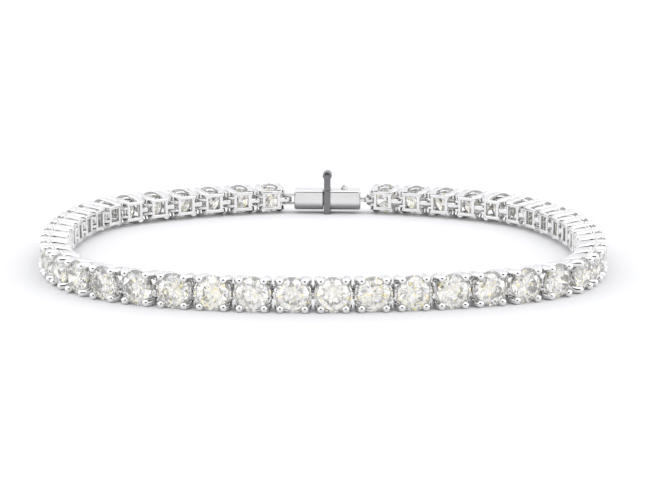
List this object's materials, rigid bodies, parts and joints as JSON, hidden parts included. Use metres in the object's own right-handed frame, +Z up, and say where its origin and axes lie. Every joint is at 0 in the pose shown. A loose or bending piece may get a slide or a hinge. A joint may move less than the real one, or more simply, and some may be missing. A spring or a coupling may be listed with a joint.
{
  "type": "tennis bracelet",
  "caption": "Closed tennis bracelet lying on its edge: hinged four-prong links, each holding a round brilliant-cut stone, and a box clasp with a spring tongue and thumb tab.",
  "frame": {"origin": "middle of the loop's bounding box, on the surface the bracelet lies on", "axes": "+Z up, across the band, from the edge it lies on to the other edge; +X to the right as the front is seen; -Y out of the front, away from the clasp, which is at +Y"},
  "size_m": [0.0594, 0.0582, 0.0052],
  "materials": {
    "white_gold": "polished rhodium-plated white gold",
    "tongue_gold": "polished white gold, darker where it reflects the room",
    "diamond": "clear faceted round brilliant cut, faint warm tint"
  },
  "bodies": {
    "root": {"link_01": "white_gold", "link_02": "white_gold", "link_03": "white_gold", "link_04": "white_gold", "link_05": "white_gold", "link_06": "white_gold", "link_07": "white_gold", "link_08": "white_gold", "link_09": "white_gold", "link_10": "white_gold", "link_11": "white_gold", "link_12": "white_gold", "link_13": "white_gold", "link_14": "white_gold", "link_15": "white_gold", "link_16": "white_gold", "link_17": "white_gold", "link_18": "white_gold", "link_19": "white_gold", "link_20": "white_gold", "link_21": "white_gold", "link_22": "white_gold", "link_23": "white_gold", "link_24": "white_gold", "link_25": "white_gold", "link_26": "white_gold", "link_27": "white_gold", "link_28": "white_gold", "link_29": "white_gold", "link_30": "white_gold", "link_31": "white_gold", "link_32": "white_gold", "link_33": "white_gold", "link_34": "white_gold", "link_35": "white_gold", "link_36": "white_gold", "link_37": "white_gold", "link_38": "white_gold", "link_39": "white_gold", "link_40": "white_gold", "link_41": "white_gold", "link_42": "white_gold", "link_43": "white_gold", "link_44": "white_gold", "link_45": "white_gold", "link_46": "white_gold", "clasp_box": "white_gold", "clasp_tongue": "tongue_gold"}
  },
  "joints": []
}
